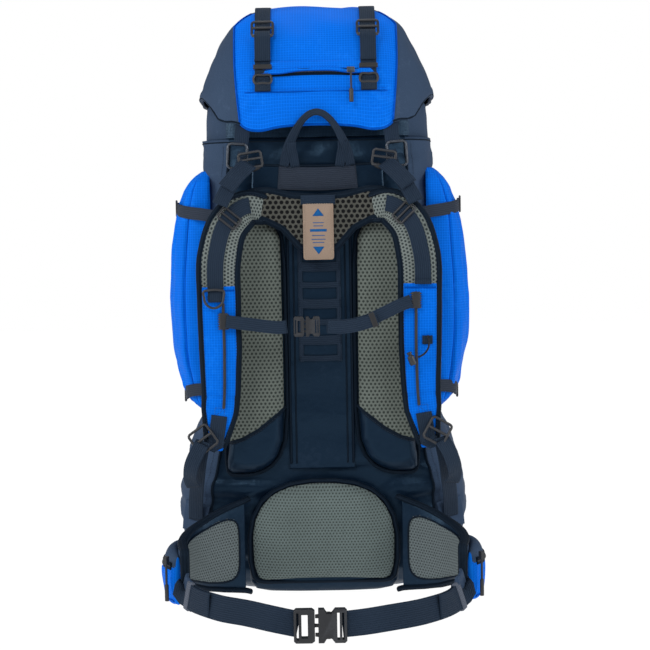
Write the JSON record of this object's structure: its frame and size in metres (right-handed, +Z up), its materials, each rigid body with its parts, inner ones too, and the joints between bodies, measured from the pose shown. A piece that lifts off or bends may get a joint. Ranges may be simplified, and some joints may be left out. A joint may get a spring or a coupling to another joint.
{
  "type": "trekking backpack",
  "caption": "Tall internal-frame trekking backpack with a hooded lid, side pockets, height-adjustable shoulder harness, sternum strap and buckled hip belt, standing on its base.",
  "frame": {"origin": "centre of the flat base, on the floor", "axes": "+Z up the back; -Y towards the shoulder harness; +X to the right of someone facing the harness"},
  "size_m": [0.498, 0.6305, 0.9618],
  "materials": {
    "slate_fabric": "coated polyester plain weave, matt with a soft sheen",
    "navy_fabric": "coated nylon, slightly shiny, wrinkled",
    "webbing": "ribbed nylon webbing, matt",
    "blue_ripstop": "ripstop nylon with a small square grid, soft sheen",
    "air_mesh": "grey spacer mesh over foam",
    "dark_mesh": "dark honeycomb mesh over foam",
    "moulded_hardware": "moulded acetal, fine texture",
    "zip_metal": "black coated zip slider with moulded pull",
    "stay_aluminium": "brushed flat bar",
    "frame_plastic": "polyethylene sheet",
    "tag_card": "printed kraft-coloured tag",
    "elastic_cord": "braided elastic cord"
  },
  "bodies": {
    "pack": {"main_bag": "slate_fabric", "snow_collar": "navy_fabric", "collar_cord_lock": "moulded_hardware", "frame_sheet": "frame_plastic", "stay_left": "stay_aluminium", "stay_right": "stay_aluminium", "spine_panel": "navy_fabric", "height_ladder": "navy_fabric", "back_pad_left": "air_mesh", "back_pad_right": "air_mesh", "lumbar_pad": "air_mesh", "top_band": "navy_fabric", "haul_loop": "webbing", "side_pocket_left": "blue_ripstop", "side_pocket_right": "blue_ripstop", "front_pocket": "blue_ripstop", "lid_buckle_female_left": "moulded_hardware", "lid_buckle_female_right": "moulded_hardware", "lower_strap_left": "webbing", "lower_strap_right": "webbing", "load_lifter_left": "webbing", "load_lifter_right": "webbing", "lifter_buckle_left": "moulded_hardware", "lifter_buckle_right": "moulded_hardware"},
    "collar_button": {"collar_lock_button": "moulded_hardware"},
    "lid": {"lid": "blue_ripstop", "lid_strap_left": "webbing", "lid_strap_right": "webbing", "lid_ladder_lock_left": "moulded_hardware", "lid_ladder_lock_right": "moulded_hardware", "lid_buckle_male_left": "moulded_hardware", "lid_buckle_male_right": "moulded_hardware"},
    "lid_slider": {"lid_zip_slider": "zip_metal"},
    "lid_pull": {"lid_zip_pull": "zip_metal"},
    "side_slider_left": {"side_zip_slider_left": "zip_metal"},
    "side_slider_right": {"side_zip_slider_right": "zip_metal"},
    "harness": {"yoke": "dark_mesh", "hang_tag": "tag_card", "shoulder_pad_left": "air_mesh", "shoulder_pad_right": "air_mesh", "ladder_lock_left": "moulded_hardware", "ladder_lock_right": "moulded_hardware", "keeper_cord": "elastic_cord", "keeper_lock": "moulded_hardware"},
    "keeper_button": {"keeper_lock_button": "moulded_hardware"},
    "d_ring": {"d_ring": "moulded_hardware"},
    "sternum": {"sternum_buckle_female": "moulded_hardware", "sternum_buckle_male": "moulded_hardware", "sternum_strap_left": "webbing", "sternum_strap_right": "webbing"},
    "wing_left": {"hip_wing_left": "blue_ripstop", "belt_strap_left": "webbing", "belt_buckle_male": "moulded_hardware"},
    "wing_right": {"hip_wing_right": "blue_ripstop", "belt_strap_right": "webbing", "belt_buckle_female": "moulded_hardware"},
    "prong_lower": {"belt_prong_lower": "moulded_hardware"},
    "prong_upper": {"belt_prong_upper": "moulded_hardware"},
    "wing_pull_left": {"wing_zip_pull_left": "zip_metal"},
    "wing_pull_right": {"wing_zip_pull_right": "zip_metal"}
  },
  "joints": [
    {"name": "lid_hinge", "type": "hinge", "parent": "pack", "child": "lid", "pos_m": [0, -0.15, 0.745], "axis": [1, 0, 0], "range_deg": [0, 85], "deforming": ["haul_loop"]},
    {"name": "lid_zip", "type": "slide", "parent": "lid", "child": "lid_slider", "axis": [-1, 0, 0], "range_m": [0, 0.11]},
    {"name": "lid_pull_swing", "type": "hinge", "parent": "lid_slider", "child": "lid_pull", "pos_m": [0.055, -0.1665, 0.836], "axis": [-1, 0, 0], "range_deg": [0, 70]},
    {"name": "side_zip_left", "type": "hinge", "parent": "pack", "child": "side_slider_left", "pos_m": [0.242, -0.01, 0.47], "axis": [0, -1, 0], "range_deg": [0, 34]},
    {"name": "side_zip_right", "type": "hinge", "parent": "pack", "child": "side_slider_right", "pos_m": [-0.242, -0.01, 0.47], "axis": [0, 1, 0], "range_deg": [0, 34]},
    {"name": "harness_height", "type": "slide", "parent": "pack", "child": "harness", "axis": [0, 0, 1], "range_m": [-0.03, 0.03], "deforming": ["lower_strap_left", "lower_strap_right", "load_lifter_left", "load_lifter_right"]},
    {"name": "sternum_height", "type": "slide", "parent": "harness", "child": "sternum", "axis": [0, 0, 1], "range_m": [-0.025, 0.025]},
    {"name": "d_ring_swing", "type": "hinge", "parent": "harness", "child": "d_ring", "pos_m": [-0.172, -0.229, 0.495], "axis": [-1, 0, 0], "range_deg": [0, 80]},
    {"name": "keeper_button_press", "type": "slide", "parent": "harness", "child": "keeper_button", "axis": [0.3429, 0, -0.9394], "range_m": [0, 0.0025], "stiffness_N_per_m": 150},
    {"name": "collar_button_press", "type": "slide", "parent": "pack", "child": "collar_button", "axis": [0, 0, -1], "range_m": [0, 0.003], "stiffness_N_per_m": 150},
    {"name": "wing_left_hinge", "type": "hinge", "parent": "pack", "child": "wing_left", "pos_m": [-0.125, -0.15, 0.092], "axis": [0, 0, -1], "range_deg": [0, 25]},
    {"name": "wing_right_hinge", "type": "hinge", "parent": "pack", "child": "wing_right", "pos_m": [0.125, -0.15, 0.092], "axis": [0, 0, 1], "range_deg": [0, 25]},
    {"name": "prong_upper_press", "type": "hinge", "parent": "wing_left", "child": "prong_upper", "pos_m": [-0.0135, -0.43, 0.0422], "axis": [0, 1, 0], "range_deg": [0, 7], "stiffness_Nm_per_rad": 0.2},
    {"name": "prong_lower_press", "type": "hinge", "parent": "wing_left", "child": "prong_lower", "pos_m": [-0.0135, -0.43, 0.0158], "axis": [0, -1, 0], "range_deg": [0, 7], "stiffness_Nm_per_rad": 0.2},
    {"name": "wing_zip_left", "type": "slide", "parent": "wing_left", "child": "wing_pull_left", "axis": [-0.4, 0.9165, 0], "range_m": [0, 0.04]},
    {"name": "wing_zip_right", "type": "slide", "parent": "wing_right", "child": "wing_pull_right", "axis": [0.4, 0.9165, 0], "range_m": [0, 0.04]}
  ],
  "couplings": [
    {"joint": "wing_right_hinge", "follows": "wing_left_hinge", "ratio": 1},
    {"joint": "prong_lower_press", "follows": "prong_upper_press", "ratio": 1}
  ]
}
